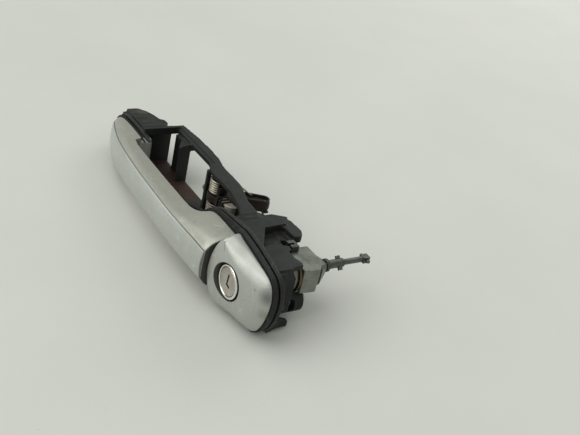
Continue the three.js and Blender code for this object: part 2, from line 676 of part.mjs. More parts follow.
const PIN_TILT = 0.8;
function crossPinShape() {
  const g = new THREE.CylinderGeometry(1.7, 1.7, 9.6, 14);
  g.rotateX(Math.PI / 2);
  g.rotateY(-PIN_TILT);
  g.translate(LOCK_X, 68.6, 0);
  return manifoldOf(g);
}
const crossPin = crossPinShape();
const pinRoom = crossPin.translate([-LOCK_X, -68.6, 0]).scale([1.08, 1.08, 1.08]).translate([LOCK_X, 68.6, 0]);

const rod = cut(join([
  cylY(LOCK_X, 0, 2.0, 66.4, 88.4, 16),
  box(15.6, 20.4, 87.6, 92.6, -2.2, 2.2),
  cylX(90.2, 0, 1.2, 13.4, 22.6, 12),
]), [pinRoom]);

// ---------------------------------------------------------------- fixings

const frontScrew = join([
  cylY(-178, 0, 2.4, 17.6, 24, 16),
  cylY(-178, 0, 4.6, 24.6, 27.6, 6),
  cylY(-178, 0, 2.4, 23, 25, 16),
]);

const captiveNut = cut(prismY(circle(25, -16.6, 4.2, 6, Math.PI / 6), 24.5, 28.1), [
  cylY(25, -16.6, 2.25, 20, 40, 16),
]);

const clampScrew = join([
  cylY(25, -16.6, 2.0, 20.6, 36.2, 16),
  cylY(25, -16.6, 3.9, 35.8, 38.4, 20),
]);

// ---------------------------------------------------------------- assembly

const group = new THREE.Group();
group.name = 'car_door_handle';

function add(name, body, mat) {
  const m = body.simplify(SMALLEST_EDGE).getMesh();
  const g = new THREE.BufferGeometry();
  const position = new Float32Array(m.numVert * 3);
  for (let i = 0; i < m.numVert; i += 1) {
    for (let k = 0; k < 3; k += 1) position[3 * i + k] = m.vertProperties[m.numProp * i + k];
  }
  g.setAttribute('position', new THREE.BufferAttribute(position, 3));
  g.setIndex(new THREE.BufferAttribute(Uint32Array.from(m.triVerts), 1));
  g.computeVertexNormals();
  const mesh = new THREE.Mesh(g, mat);
  mesh.name = name;
  group.add(mesh);
}

add('grip_outer_shell', gripOuter, SILVER);
add('grip_inner_shell', gripInner, SILVER_WARM);
add('front_hook', hookBar, NYLON);
add('rear_leg', rearLeg.subtract(legScrewRoom), NYLON);
add('leg_screw', legScrew, STEEL);
add('front_pad', frontPad, RUBBER);
add('rear_pad', rearPad, RUBBER);
add('rear_cover', cover, SILVER);
add('stop_button', stop, RUBBER);
add('frame', frame, NYLON);
add('bell_crank', crank, NYLON_BROWN);
add('pivot_pin', pin, STEEL);
add('counterweight', weight, ZINC_PALE);
add('crank_spring', spring, SPRING_STEEL);
add('lever_link', link, STEEL);
add('rod_clip', rodClip, NYLON);
add('face_ring', ring, BRIGHT);
add('face_cap', face, SATIN);
add('lock_sleeve', sleeve, ZINC);
add('lock_plug', plug, ZINC);
add('slot_shutter', shutter, STEEL);
add('plug_spring', plugSpring, SPRING_STEEL);
add('snap_ring', snapRing, BRASS);
add('lock_housing', housing, ZINC);
add('tail_collar', collar, ZINC);
add('tail_shaft', shaft.subtract(pinRoom), STEEL);
add('cross_pin', crossPin, STEEL);
add('tail_rod', rod, STEEL);
add('front_screw', frontScrew, STEEL);
add('clamp_screw', clampScrew, STEEL);
add('captive_nut', captiveNut, STEEL);

export default group;
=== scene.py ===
"""Looks of a used outside door handle, built around its CAD frame.

+X runs along the handle to the lock, +Y runs into the door, +Z is up. Lengths below are in
millimetres and M turns them into metres; the table's size and the lamps are in metres.
"""
import math

import bmesh
import bpy
import numpy as np
from mathutils import Matrix, Vector


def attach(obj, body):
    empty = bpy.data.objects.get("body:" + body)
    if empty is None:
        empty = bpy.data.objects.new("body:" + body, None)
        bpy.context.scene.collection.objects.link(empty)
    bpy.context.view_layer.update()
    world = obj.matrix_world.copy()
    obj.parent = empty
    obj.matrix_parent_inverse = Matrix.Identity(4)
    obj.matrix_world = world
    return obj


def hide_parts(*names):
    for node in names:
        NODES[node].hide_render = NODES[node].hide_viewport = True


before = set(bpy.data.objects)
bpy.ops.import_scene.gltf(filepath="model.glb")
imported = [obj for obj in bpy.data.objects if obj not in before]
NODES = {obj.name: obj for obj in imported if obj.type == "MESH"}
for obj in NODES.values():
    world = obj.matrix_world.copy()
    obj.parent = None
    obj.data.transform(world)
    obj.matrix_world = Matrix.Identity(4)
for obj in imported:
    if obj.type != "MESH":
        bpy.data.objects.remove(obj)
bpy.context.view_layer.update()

M = 0.001


# ---------------------------------------------------------------- numbers and curves


def smoothstep(a, b, t):
    u = np.clip((np.asarray(t, float) - a) / (b - a), 0.0, 1.0)
    return u * u * (3.0 - 2.0 * u)


def pchip(xs, ys, x):
    """Smooth curve through the points that never overshoots them."""
    xs, ys = np.asarray(xs, float), np.asarray(ys, float)
    h, d = np.diff(xs), np.diff(ys) / np.diff(xs)
    m = np.zeros(len(xs))
    m[0], m[-1] = d[0], d[-1]
    for i in range(1, len(xs) - 1):
        if d[i - 1] * d[i] > 0:
            a, b = 2 * h[i] + h[i - 1], h[i] + 2 * h[i - 1]
            m[i] = (a + b) / (a / d[i - 1] + b / d[i])
    k = np.clip(np.searchsorted(xs, x) - 1, 0, len(h) - 1)
    t = (x - xs[k]) / h[k]
    a = (1 + 2 * t) * (1 - t) ** 2 * ys[k] + t * (1 - t) ** 2 * h[k] * m[k]
    return a + t * t * (3 - 2 * t) * ys[k + 1] + t * t * (t - 1) * h[k] * m[k + 1]


def spline(points, per=8, closed=False):
    """Centripetal curve through the points, any dimension."""
    p = [np.array(q, float) for q in points]
    n = len(p)
    out = []
    for i in range(n if closed else n - 1):
        if closed:
            q = [p[(i + k) % n] for k in (-1, 0, 1, 2)]
        else:
            first = p[i - 1] if i else 2 * p[0] - p[1]
            last = p[i + 2] if i + 2 < n else 2 * p[-1] - p[-2]
            q = [first, p[i], p[i + 1], last]
        t = [0.0]
        for k in range(3):
            t.append(t[-1] + max(np.linalg.norm(q[k + 1] - q[k]), 1e-6) ** 0.5)
        for s in range(per):
            u = t[1] + (t[2] - t[1]) * s / per
            a = [((t[k + 1] - u) * q[k] + (u - t[k]) * q[k + 1]) / (t[k + 1] - t[k]) for k in range(3)]
            b = [((t[k + 2] - u) * a[k] + (u - t[k]) * a[k + 1]) / (t[k + 2] - t[k]) for k in range(2)]
            out.append(((t[2] - u) * b[0] + (u - t[1]) * b[1]) / (t[2] - t[1]))
    if not closed:
        out.append(p[-1])
    return np.array(out)


def rounded(points, radius, n=6):
    """Corners of a closed polygon rounded."""
    out = []
    count = len(points)
    for i in range(count):
        r = radius[i] if isinstance(radius, (list, tuple)) else radius
        p = np.array(points[i], float)
        if not r:
            out.append(p)
            continue
        a, b = np.array(points[i - 1], float) - p, np.array(points[(i + 1) % count], float) - p
        la, lb = np.linalg.norm(a), np.linalg.norm(b)
        cut = min(r, 0.48 * la, 0.48 * lb)
        s, e = p + a / la * cut, p + b / lb * cut
        for k in range(n + 1):
            t = k / n
            out.append((1 - t) ** 2 * s + 2 * t * (1 - t) * p + t * t * e)
    return np.array(out)


# ---------------------------------------------------------------- meshes


def placed(name, data):
    """An object of the scene that holds the data."""
    obj = bpy.data.objects.new(name, data)
    bpy.context.scene.collection.objects.link(obj)
    return obj


def new_mesh(name, verts, faces, smooth=True):
    mesh = bpy.data.meshes.new(name)
    mesh.from_pydata([tuple(v) for v in np.asarray(verts, float) * M], [], faces)
    mesh.validate()
    bm = bmesh.new()
    bm.from_mesh(mesh)
    bmesh.ops.recalc_face_normals(bm, faces=bm.faces)
    bm.to_mesh(mesh)
    bm.free()
    for p in mesh.polygons:
        p.use_smooth = smooth
    return placed(name, mesh)


def ring_faces(rings, n):
    """Faces between closed rings of n points that follow one another."""
    faces = []
    for r in range(rings - 1):
        a = r * n
        for i in range(n):
            j = (i + 1) % n
            faces.append((a + i, a + j, a + n + j, a + n + i))
    return faces


def lathe(name, profile, x, z, n=96):
    """Closed profile of (radius, y) turned about the line through (x, z) along Y."""
    verts = []
    for r, y in profile:
        for k in range(n):
            t = 2 * math.pi * k / n
            verts.append((x + r * math.cos(t), y, z + r * math.sin(t)))
    count = len(profile)
    faces = []
    for i in range(count):
        j = (i + 1) % count
        for k in range(n):
            m = (k + 1) % n
            faces.append((i * n + k, i * n + m, j * n + m, j * n + k))
    return new_mesh(name, verts, faces)


def prism(name, points, low, high, axis):
    """Polygon pushed along an axis: (x, y) for Z, (x, z) for Y, (y, z) for X."""
    place = {
        "z": lambda a, b, h: (a, b, h),
        "y": lambda a, b, h: (a, h, b),
        "x": lambda a, b, h: (h, a, b),
    }[axis]
    n = len(points)
    verts = [place(a, b, h) for h in (low, high) for a, b in points]
    faces = ring_faces(2, n) + [tuple(range(n)), tuple(range(n, 2 * n))]
    return new_mesh(name, verts, faces, smooth=False)


def baked(obj):
    """Applies the modifiers of obj."""
    graph = bpy.context.evaluated_depsgraph_get()
    mesh = bpy.data.meshes.new_from_object(obj.evaluated_get(graph))
    old = obj.data
    obj.modifiers.clear()
    obj.data = mesh
    if old.users == 0:
        bpy.data.meshes.remove(old)
    return obj


def cut(obj, tool):
    """Takes the shape of the tool out of obj."""
    m = obj.modifiers.new("cut", "BOOLEAN")
    m.operation = "DIFFERENCE"
    m.solver = "EXACT"
    m.object = tool
    baked(obj)
    bpy.data.objects.remove(tool)


def copy_of(node, name):
    return placed(name, NODES[node].data.copy())


def merge(name, objs):
    """One mesh that holds the shapes of all the objects."""
    bm = bmesh.new()
    for o in objs:
        bm.from_mesh(o.data)
    mesh = bpy.data.meshes.new(name)
    bm.to_mesh(mesh)
    bm.free()
    for o in objs:
        bpy.data.objects.remove(o)
    return placed(name, mesh)


def moulded(name, objs, voxel, rounds=3):
    """Solids melted into one casting with softened edges."""
    obj = merge(name, objs)
    m = obj.modifiers.new("melt", "REMESH")
    m.mode = "VOXEL"
    m.voxel_size = voxel * M * 1.0
    m.use_smooth_shade = True
    baked(obj)
    s = obj.modifiers.new("soften", "SMOOTH")
    s.factor = 0.5
    s.iterations = rounds
    baked(obj)
    for p in obj.data.polygons:
        p.use_smooth = True
    return obj


def rod(name, points, radius):
    """Round wire along a smooth line through the points."""
    line = spline(points, 6)
    curve = bpy.data.curves.new(name, "CURVE")
    curve.dimensions = "3D"
    curve.bevel_depth = radius * M
    curve.bevel_resolution = 4
    curve.use_fill_caps = True
    s = curve.splines.new("POLY")
    s.points.add(len(line) - 1)
    for p, q in zip(s.points, line):
        p.co = (*(q * M), 1.0)
    tmp = placed(name + "_line", curve)
    graph = bpy.context.evaluated_depsgraph_get()
    mesh = bpy.data.meshes.new_from_object(tmp.evaluated_get(graph))
    bpy.data.objects.remove(tmp)
    for p in mesh.polygons:
        p.use_smooth = True
    return placed(name, mesh)


# ---------------------------------------------------------------- materials


class Look:
    """A procedural material; coordinates are those of the part, in metres."""

    def __init__(self, name):
        self.mat = bpy.data.materials.new(name)
        self.mat.use_nodes = True
        self.tree = self.mat.node_tree
        self.nodes = self.tree.nodes
        self.bsdf = next(n for n in self.nodes if n.type == "BSDF_PRINCIPLED")
        self.place = self.nodes.new("ShaderNodeTexCoord").outputs["Object"]
        self.height = None

    def link(self, value, socket):
        if isinstance(value, bpy.types.NodeSocket):
            self.tree.links.new(value, socket)
        elif value is not None:
            is_colour = socket.type == "RGBA" and len(value) == 3
            socket.default_value = (*value, 1.0) if is_colour else value

    def set(self, name, value):
        self.link(value, self.bsdf.inputs[name])

    def math(self, op, a, b):
        n = self.nodes.new("ShaderNodeMath")
        n.operation = op
        self.link(a, n.inputs[0])
        self.link(b, n.inputs[1])
        return n.outputs[0]

    def stretched(self, scale, turn=(0, 0, 0)):
        n = self.nodes.new("ShaderNodeMapping")
        n.inputs["Scale"].default_value = scale
        n.inputs["Rotation"].default_value = turn
        self.tree.links.new(self.place, n.inputs["Vector"])
        return n.outputs[0]

    def noise(self, scale, detail=4.0, rough=0.55, bend=0.0, vector=None):
        n = self.nodes.new("ShaderNodeTexNoise")
        n.inputs["Scale"].default_value = scale
        n.inputs["Detail"].default_value = detail
        n.inputs["Roughness"].default_value = rough
        n.inputs["Distortion"].default_value = bend
        self.tree.links.new(vector or self.place, n.inputs["Vector"])
        return n.outputs["Fac"]

    def band(self, value, a, b, low=0.0, high=1.0):
        n = self.nodes.new("ShaderNodeMapRange")
        n.interpolation_type = "SMOOTHSTEP"
        for key, v in (("From Min", a), ("From Max", b), ("To Min", low), ("To Max", high)):
            n.inputs[key].default_value = v
        self.tree.links.new(value, n.inputs["Value"])
        return n.outputs[0]

    def mix(self, fac, a, b):
        n = self.nodes.new("ShaderNodeMix")
        n.data_type = "RGBA"
        n.clamp_factor = True
        self.link(fac, n.inputs[0])
        self.link(a, n.inputs[6])
        self.link(b, n.inputs[7])
        return n.outputs[2]

    def lines(self, scale, width, turn, seed, share):
        """Thin scratches: edges of long cells, kept only in patches."""
        v = self.nodes.new("ShaderNodeTexVoronoi")
        v.feature = "DISTANCE_TO_EDGE"
        v.inputs["Scale"].default_value = scale
        v.inputs["Randomness"].default_value = 1.0
        bent = self.stretched((1.0, 1.0, 0.16), turn)
        self.tree.links.new(bent, v.inputs["Vector"])
        thin = self.band(v.outputs["Distance"], 0.0, width, 1.0, 0.0)
        patch = self.band(self.noise(120.0 + seed, 2.0), share, share + 0.08)
        return self.math("MULTIPLY", thin, patch)

    def specks(self, scale, size, share):
        """Small round dots, kept only in patches."""
        v = self.nodes.new("ShaderNodeTexVoronoi")
        v.inputs["Scale"].default_value = scale
        self.tree.links.new(self.place, v.inputs["Vector"])
        dots = self.band(v.outputs["Distance"], size * 0.6, size, 1.0, 0.0)
        patch = self.band(self.noise(scale * 0.23, 2.0), share, share + 0.06)
        return self.math("MULTIPLY", dots, patch)

    def away_from(self, centre):
        """Distance to one point of the part."""
        n = self.nodes.new("ShaderNodeVectorMath")
        n.operation = "DISTANCE"
        self.tree.links.new(self.place, n.inputs[0])
        n.inputs[1].default_value = tuple(c * M for c in centre)
        return n.outputs["Value"]

    def spot(self, centre, radius, rough):
        """A ragged mark around one point of the part."""
        wave = self.band(self.noise(1400.0, 4.0), 0.3, 0.7, 1.0 - rough, 1.0 + rough)
        far = self.math("MULTIPLY", self.away_from(centre), wave)
        return self.band(far, radius * M * 0.8, radius * M, 1.0, 0.0)

    def glow(self, centre, radius):
        """A soft round patch around one point of the part."""
        return self.band(self.away_from(centre), 0.0, radius * M, 1.0, 0.0)

    def facing_up(self, a, b):
        n = self.nodes.new("ShaderNodeNewGeometry")
        s = self.nodes.new("ShaderNodeSeparateXYZ")
        self.tree.links.new(n.outputs["Normal"], s.inputs[0])
        return self.band(s.outputs["Z"], a, b)

    def edges(self, a, b):
        n = self.nodes.new("ShaderNodeNewGeometry")
        return self.band(n.outputs["Pointiness"], a, b)

    def bump(self, value, strength, distance, soft=0.0):
        n = self.nodes.new("ShaderNodeBump")
        n.inputs["Strength"].default_value = strength
        n.inputs["Distance"].default_value = distance * M
        self.tree.links.new(value, n.inputs["Height"])
        if self.height is not None:
            self.tree.links.new(self.height, n.inputs["Normal"])
        elif soft:
            e = self.nodes.new("ShaderNodeBevel")
            e.samples = 4
            e.inputs["Radius"].default_value = soft * M
            self.tree.links.new(e.outputs[0], n.inputs["Normal"])
        self.height = n.outputs[0]
        self.tree.links.new(self.height, self.bsdf.inputs["Normal"])


BARE_GREY = (0.66, 0.66, 0.62)
DARK_GRIT = (0.16, 0.15, 0.12)
SHADE = (0.10, 0.105, 0.095)
PALE_GRIT = (0.20, 0.18, 0.14)
PALE_SCRATCH = (0.16, 0.16, 0.15)
SILT = (0.046, 0.022, 0.015)


def paint(name, base, dusty, marks=(), chips=(), shades=()):
    """Silver paint with flakes, a thin film of dust, scratches, marks, chips and soft patches of painted shade.
    """
    k = Look(name)
    cloud = k.band(k.noise(26.0, 3.0), 0.35, 0.65)
    colour = k.mix(cloud, base, tuple(c * 0.94 for c in base))
    flake = k.band(k.noise(5200.0, 1.0), 0.40, 0.66)
    colour = k.mix(k.math("MULTIPLY", flake, 0.22), colour, tuple(min(1, c * 1.5) for c in base))
    film = k.math("MULTIPLY", k.band(k.noise(75.0, 6.0, 0.7), 0.45, 0.75), 0.35)
    colour = k.mix(film, colour, dusty)
    fine = k.lines(160.0, 0.020, (0.3, 0.9, 0.2), 3.0, 0.48)
    more = k.lines(260.0, 0.022, (0.2, -0.7, 0.5), 17.0, 0.56)
    scratch = k.math("MAXIMUM", fine, more)
    colour = k.mix(k.math("MULTIPLY", scratch, 0.5), colour, BARE_GREY)
    grit = k.specks(620.0, 0.15, 0.49)
    colour = k.mix(k.math("MULTIPLY", grit, 0.7), colour, DARK_GRIT)
    # soft round patches of painted shade
    for centre, radius, amount in shades:
        colour = k.mix(k.math("MULTIPLY", k.glow(centre, radius), amount), colour, SHADE)
    for centre, radius, tint, amount in marks:
        colour = k.mix(k.math("MULTIPLY", k.spot(centre, radius, 0.7), amount), colour, tint)
    depth = None
    for centre, radius, tint in chips:
        hole = k.spot(centre, radius, 0.45)
        colour = k.mix(hole, colour, tint)
        depth = hole if depth is None else k.math("MAXIMUM", depth, hole)
    k.set("Base Color", colour)
    wear = k.band(k.noise(55.0, 5.0, 0.65), 0.3, 0.75, 0.32, 0.48)
    k.set("Roughness", k.math("ADD", wear, k.math("MULTIPLY", scratch, 0.2)))
    k.set("Metallic", 0.5)
    k.set("Coat Weight", 0.3)
    k.set("Coat Roughness", 0.22)
    k.bump(k.noise(420.0, 2.0), 0.05, 0.05)
    k.bump(k.math("MULTIPLY", scratch, -1.0), 0.25, 0.02)
    if depth is not None:
        k.bump(k.math("MULTIPLY", depth, -1.0), 0.8, 0.12)
    return k.mat


def plastic(
    name, base, warm, dust, rough=(0.42, 0.64), grain=0.35, dusty=0.5, soft=0.0, wear=True,
    silted=False, worn=(),
):
    """Moulded plastic or rubber with dust and painted top light on up-facing faces, rubbed edges with a painted
    edge highlight, grit and scratches.
    """
    k = Look(name)
    colour = k.mix(k.band(k.noise(38.0, 5.0, 0.6), 0.35, 0.68), base, warm)
    fibre = k.band(k.noise(1500.0, 3.0, 0.6, 0.0, k.stretched((0.25, 1.0, 1.0))), 0.58, 0.74)
    colour = k.mix(k.math("MULTIPLY", fibre, 0.3), colour, tuple(c * 2.6 for c in base))
    # lighter on up-facing faces: dust, and painted light on the tops
    up = k.math("MULTIPLY", k.facing_up(0.1, 0.95), dusty)
    top_dust_and_light = k.math("MULTIPLY", up, k.band(k.noise(90.0, 6.0, 0.7), 0.3, 0.72, 0.25, 1.0))
    colour = k.mix(top_dust_and_light, colour, dust)
    if silted:
        # brown silt on the floor of the cage
        s = k.nodes.new("ShaderNodeSeparateXYZ")
        k.tree.links.new(k.place, s.inputs[0])
        low = k.math("MULTIPLY", k.band(s.outputs["Z"], -14.5 * M, -16.2 * M), k.facing_up(0.7, 0.95))
        low = k.math("MULTIPLY", low, k.band(s.outputs["X"], -92.0 * M, -104.0 * M))
        patchy = k.band(k.noise(60.0, 5.0), 0.3, 0.6, 0.55, 1.0)
        colour = k.mix(k.math("MULTIPLY", low, patchy), colour, SILT)
    if wear:
        # lighter edges: rubbing wear, and a painted edge highlight
        edge_wear_and_light = k.math("MULTIPLY", k.edges(0.515, 0.56), k.band(k.noise(160.0, 4.0), 0.4, 0.65))
        colour = k.mix(k.math("MULTIPLY", edge_wear_and_light, 0.35), colour, tuple(c * 3.2 + 0.02 for c in base))
    grit = k.specks(750.0, 0.16, 0.58)
    colour = k.mix(k.math("MULTIPLY", grit, 0.5), colour, PALE_GRIT)
    scratch = k.lines(120.0, 0.018, (0.5, 0.8, 0.1), 9.0, 0.57)
    colour = k.mix(k.math("MULTIPLY", scratch, 0.35), colour, PALE_SCRATCH)
    for centre, radius, tint, amount in worn:
        colour = k.mix(k.math("MULTIPLY", k.spot(centre, radius, 0.6), amount), colour, tint)
    k.set("Base Color", colour)
    k.set("Roughness", k.band(k.noise(70.0, 6.0, 0.65), 0.3, 0.7, rough[0], rough[1]))
    k.set("Specular IOR Level", 0.28)
    k.bump(k.noise(1900.0, 3.0, 0.6), grain, 0.05, soft)
    k.bump(k.noise(240.0, 3.0), 0.18, 0.12)
    return k.mat


def metal(name, base, dark, rough, grain, lines=None, soft=0.0, stain=0.4, metallic=1.0):
    """Bare or plated metal with stains, fine scratches and a grain that may run in lines."""
    k = Look(name)
    colour = k.mix(k.band(k.noise(60.0, 6.0, 0.65), 0.35, 0.7), base, dark)
    spots = k.band(k.noise(420.0, 5.0, 0.7), 0.58, 0.70)
    colour = k.mix(k.math("MULTIPLY", spots, stain), colour, tuple(c * 0.4 for c in dark))
    scratch = k.lines(210.0, 0.02, (0.1, 0.6, 0.9), 21.0, 0.5)
    colour = k.mix(k.math("MULTIPLY", scratch, 0.4), colour, tuple(min(1, c * 1.4) for c in base))
    k.set("Base Color", colour)
    spread = k.noise(80.0, 6.0, 0.7)
    if lines:
        spread = k.noise(900.0, 4.0, 0.7, 0.0, k.stretched(lines))
    k.set("Roughness", k.band(spread, 0.3, 0.7, rough[0], rough[1]))
    k.set("Metallic", metallic)
    k.bump(k.noise(1300.0, 4.0, 0.65), grain, 0.04, soft)
    k.bump(k.noise(200.0, 3.0), 0.12, 0.10)
    return k.mat


NYLON = ((0.011, 0.013, 0.012), (0.018, 0.019, 0.017), (0.024, 0.027, 0.023))
LOOKS = {
    "paint_silver": paint(
        "paint_silver", (0.43, 0.45, 0.42), (0.48, 0.48, 0.43),
        marks=[
            ((-43.9, -24.0, 5.7), 1.8, (0.25, 0.26, 0.25), 0.6),
            ((-30.8, -24.5, 2.6), 1.4, (0.66, 0.66, 0.63), 0.7),
        ],
        chips=[((-52.0, -26.2, 5.0), 0.5, (0.30, 0.30, 0.28)), ((-120.0, -24.0, 4.0), 0.45, BARE_GREY)],
    ),
    "paint_warm": paint(
        "paint_warm", (0.36, 0.365, 0.315), (0.40, 0.395, 0.335),
        marks=[((-28.0, -17.5, 15.5), 1.6, (0.30, 0.29, 0.26), 0.5)],
        chips=[((-70.0, -20.0, 11.0), 0.4, (0.28, 0.27, 0.24))],
    ),
    "paint_cover": paint(
        "paint_cover", (0.395, 0.405, 0.37), (0.44, 0.44, 0.395),
        marks=[
            ((41.2, -10.9, 9.7), 0.7, (0.22, 0.21, 0.19), 0.5),
            ((36.4, -12.7, -0.7), 0.6, (0.24, 0.23, 0.21), 0.4),
        ],
        chips=[
            ((2.0, -18.3, 6.4), 0.95, (0.52, 0.40, 0.24)),
            ((50.0, -9.0, 2.0), 0.45, (0.20, 0.19, 0.17)),
        ],
        # painted shade at the cover's rims, and a painted dark reflection near the rear rim
        shades=[
            ((50.6, -8.6, 9.0), 8.5, 0.9),
            ((51.0, -8.0, -4.0), 7.0, 0.5),
            ((8.0, -12.0, -26.0), 10.0, 0.4),
            ((20.0, -12.0, 25.0), 9.0, 0.35),
        ],
    ),
    # dark look for the grip's rear end faces: painted shade, as the real end is painted like the rest of the
    # grip
    "end_face_shade": plastic(
        "end_face_shade", (0.050, 0.052, 0.048), (0.075, 0.076, 0.070), (0.14, 0.14, 0.13),
        rough=(0.3, 0.5), wear=False,
    ),
    "nylon_black": plastic(
        "nylon_black", *NYLON, silted=True,
        worn=[
            ((-186.0, 15.0, 13.6), 4.5, (0.085, 0.062, 0.045), 0.7),
            ((-176.0, 18.0, 13.6), 4.0, (0.030, 0.022, 0.016), 0.7),
        ],
    ),
    "nylon_soft": plastic("nylon_soft", *NYLON, soft=0.4, wear=False),
    "nylon_brown": plastic(
        "nylon_brown", (0.014, 0.011, 0.009), (0.036, 0.018, 0.012), (0.040, 0.032, 0.026), dusty=0.3,
    ),
    # dark look for the wall of the cover's lock recess: painted shade
    "recess_shade": plastic(
        "recess_shade", (0.050, 0.050, 0.046), (0.075, 0.073, 0.066), (0.085, 0.083, 0.075),
        rough=(0.35, 0.55), wear=False,
    ),
    "pad_rubber": plastic(
        "pad_rubber", (0.008, 0.009, 0.008), (0.013, 0.014, 0.013), (0.026, 0.027, 0.025),
        rough=(0.45, 0.7), grain=0.2, soft=0.5, wear=False,
    ),
    "steel_zinc": metal("steel_zinc", (0.46, 0.46, 0.43), (0.30, 0.30, 0.27), (0.28, 0.48), 0.25, soft=0.25),
    "zinc_cast": metal(
        "zinc_cast", (0.25, 0.265, 0.23), (0.15, 0.16, 0.135), (0.38, 0.62), 0.6, stain=0.6, metallic=0.75,
    ),
    "steel_dark": metal("steel_dark", (0.16, 0.165, 0.15), (0.08, 0.08, 0.07), (0.34, 0.55), 0.3, soft=0.25),
    # near-black metal for the key slot's walls, the plug and its shutter: painted shade of the deep slot
    "keyway_shade": metal("keyway_shade", (0.03, 0.028, 0.025), (0.015, 0.014, 0.012), (0.4, 0.6), 0.3, metallic=0.6),
    "zinc_pale": metal(
        "zinc_pale", (0.62, 0.60, 0.52), (0.40, 0.38, 0.31), (0.3, 0.5), 0.3, soft=0.3, metallic=0.8,
    ),
    "spring_steel": metal("spring_steel", (0.62, 0.57, 0.48), (0.34, 0.31, 0.25), (0.25, 0.42), 0.15),
    "bright_chrome": metal(
        "bright_chrome", (0.90, 0.90, 0.87), (0.74, 0.74, 0.70), (0.08, 0.2), 0.04, stain=0.15,
    ),
    "satin_cap": metal(
        "satin_cap", (0.62, 0.57, 0.52), (0.48, 0.44, 0.39), (0.24, 0.38), 0.12,
        lines=(6.0, 1.0, 0.5), stain=0.2,
    ),
    "brass_ring": metal("brass_ring", (0.20, 0.135, 0.08), (0.10, 0.07, 0.045), (0.35, 0.55), 0.2, soft=0.2),
}


def dress(obj, look):
    """One material instead of whatever the object had."""
    obj.data.materials.clear()
    obj.data.materials.append(LOOKS[look])


def piece(obj, body, slot, look, *nodes):
    """Hands a finished object over: its look, its body and the nodes it stands for; the slot is not used."""
    dress(obj, look)
    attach(obj, body)
    if nodes:
        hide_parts(*nodes)


def second_look(obj, look, picked):
    """A second material on the faces whose entry in picked is 1."""
    obj.data.materials.append(LOOKS[look])
    obj.data.polygons.foreach_set("material_index", picked)


# ---------------------------------------------------------------- grip

# x, shoulder y, shoulder height, base height, seam y, seam height, outermost y
GRIP = np.array([
    (-187.6, -2.8, 5.2, 5.0, -3.6, 4.4, -4.2), (-186.6, -3.4, 8.0, 8.2, -5.0, 6.6, -6.2),
    (-184.5, -4.4, 10.2, 10.6, -6.8, 8.2, -8.4), (-181, -5.6, 11.8, 12.2, -8.6, 9.2, -10.6),
    (-175, -7.4, 12.8, 13.2, -11.2, 9.8, -13.4), (-165, -10.0, 13.2, 13.6, -14.4, 10.1, -17.2),
    (-152, -12.6, 13.0, 13.4, -17.6, 10.2, -20.8), (-139, -14.6, 12.6, 12.8, -19.6, 10.2, -23.2),
    (-122, -16.2, 12.1, 12.0, -21.0, 10.1, -24.9), (-103, -17.0, 11.7, 11.4, -22.1, 10.0, -26.2),
    (-83, -17.6, 11.5, 11.2, -22.8, 10.0, -26.9), (-64, -18.0, 11.5, 11.2, -23.3, 10.0, -27.1),
    (-51, -18.0, 11.8, 11.8, -23.5, 10.0, -26.9), (-43, -17.8, 12.6, 13.6, -23.5, 10.1, -26.5),
    (-36, -17.4, 13.6, 16.6, -23.4, 10.2, -26.0), (-28.5, -17.0, 14.8, 19.6, -23.2, 10.3, -25.4),
    (-20, -16.8, 15.8, 20.4, -22.9, 10.4, -24.8), (-10, -16.6, 16.2, 20.4, -22.5, 10.4, -24.2),
    (2, -16.4, 16.2, 20.2, -22.1, 10.3, -23.6),
])
GRIP_TIP = (-187.85, -2.75, 0.25, 0.25, -2.95, 0.2, -3.15)
GRIP_BASE = -2.5
# (z, x) along the rear end of the grip
GRIP_END = [
    (-24, -0.8), (-19, -1.2), (-13, -2.0), (-6, -2.6), (0, -2.7), (5, -2.4), (12, -1.7), (19, -0.9), (24, -0.6),
]
# (x, y) along the side of the grip that faces the fingers
GAP_FACE = [
    (-148.2, 8.0), (-145.6, -2.0), (-143.4, -8.2), (-140, -8.5), (-90, -8.4), (-51, -8.45), (-46, -7.95),
    (-42, -6.95), (-38.5, -5.65), (-35, -3.6), (-33.5, 6.0),
]
NO_GAP = 20.0
# how far a shell stays from the seam between the two
SEAM_GAP = 0.12
# the last stations bend towards the curved rear end
BEND_FROM = -34.0
GRIP_STOP = -1.6
END_ROUND = 0.55
END_STEPS = 8


def gap_face(x):
    xs, ys = zip(*GAP_FACE)
    if x < xs[0] or x > xs[-1]:
        return NO_GAP
    near = x + np.linspace(-0.3, 0.3, 5)
    return float(np.mean(np.interp(near, xs, ys)))


def grip_end_x(z):
    zs, xs = zip(*GRIP_END)
    return float(pchip(zs, xs, np.array([min(max(z, -24), 24)]))[0])


def grip_stations():
    """Places along X, close together at the tip, and the grip's row at each."""
    rows = np.vstack([GRIP_TIP, GRIP])
    tip = rows[0, 0]
    step, tip_roots, tip_count = 0.8, (0.12, 1.9), 26
    root = np.sqrt(rows[:, 0] - tip)
    near = np.linspace(*tip_roots, tip_count)
    far = np.sqrt(np.arange(tip + tip_roots[1] ** 2 + step, GRIP_STOP, step) - tip)
    u = np.concatenate([near, far])
    table = np.stack([pchip(root, rows[:, k], u) for k in range(1, 7)], 1)
    for _ in range(3):
        inner = 0.25 * table[tip_count:-2] + 0.5 * table[tip_count + 1:-1] + 0.25 * table[tip_count + 2:]
        table[tip_count + 1:-1] = inner
    return tip + u * u, table


def arc(c, r, a0, a1, n):
    return [(c[0] + r[0] * math.cos(t), c[1] + r[1] * math.sin(t)) for t in np.linspace(a0, a1, n)]


